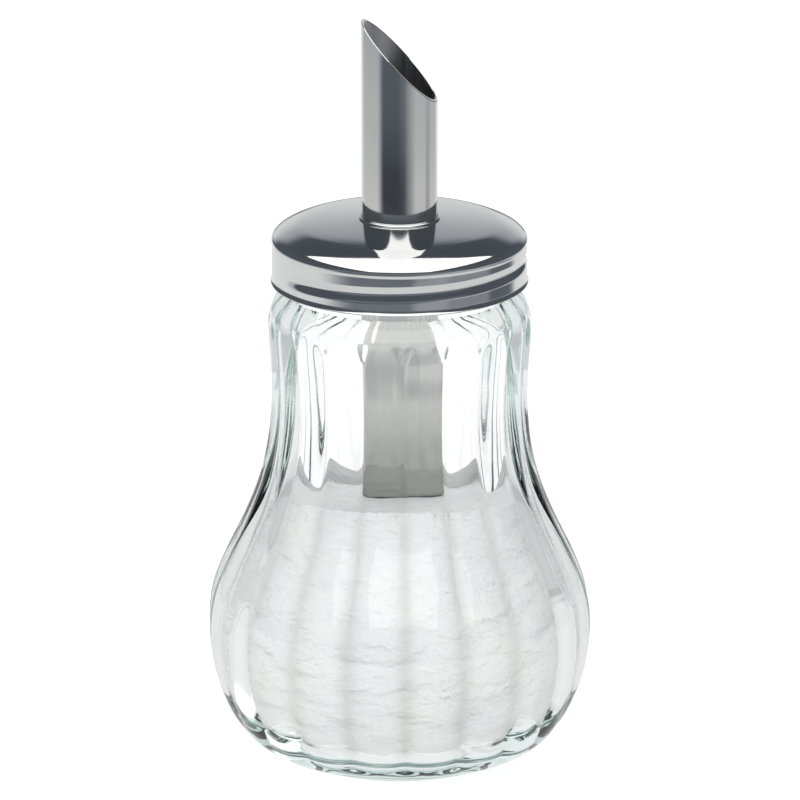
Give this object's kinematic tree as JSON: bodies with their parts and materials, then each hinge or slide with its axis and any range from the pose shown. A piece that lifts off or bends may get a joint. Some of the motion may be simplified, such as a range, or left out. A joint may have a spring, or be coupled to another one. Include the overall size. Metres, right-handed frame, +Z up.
{
  "type": "glass sugar pourer",
  "caption": "Lobed pear-shaped glass jar of sugar with a polished steel screw lid and a slant-cut pour tube through the lid.",
  "frame": {"origin": "on the jar's axis at the level of its standing ring, so the pourer stands on the XY plane", "axes": "+Z up along the jar's axis; the tall tip of the slant-cut pour tube is at -X, and the front that faces the viewer is -Y"},
  "size_m": [0.0756, 0.0756, 0.1498],
  "materials": {
    "clear_glass": "gloss",
    "polished_steel": "polished",
    "plain_steel": "satin",
    "liner": "matte",
    "sugar": "matte"
  },
  "bodies": {
    "jar": {"glass_jar": "clear_glass", "sugar_fill": "sugar"},
    "seal": {"seal_ring": "liner"},
    "riser": {"tube_retaining_ring": "plain_steel"},
    "lid": {"screw_cap": "polished_steel", "pour_tube": "polished_steel"}
  },
  "joints": [
    {"name": "lid_lift", "type": "slide", "parent": "jar", "child": "seal", "axis": [0, 0, 1], "range_m": [0, 0.09]},
    {"name": "lid_rise", "type": "slide", "parent": "seal", "child": "riser", "axis": [0, 0, 1], "range_m": [0, 0.0045]},
    {"name": "lid_turn", "type": "hinge", "parent": "riser", "child": "lid", "pos_m": [0, 0, 0.1], "axis": [0, 0, 1], "range_deg": [0, 450]}
  ],
  "couplings": [
    {"joint": "lid_rise", "follows": "lid_turn", "m_per_rad": 0.00057296}
  ]
}
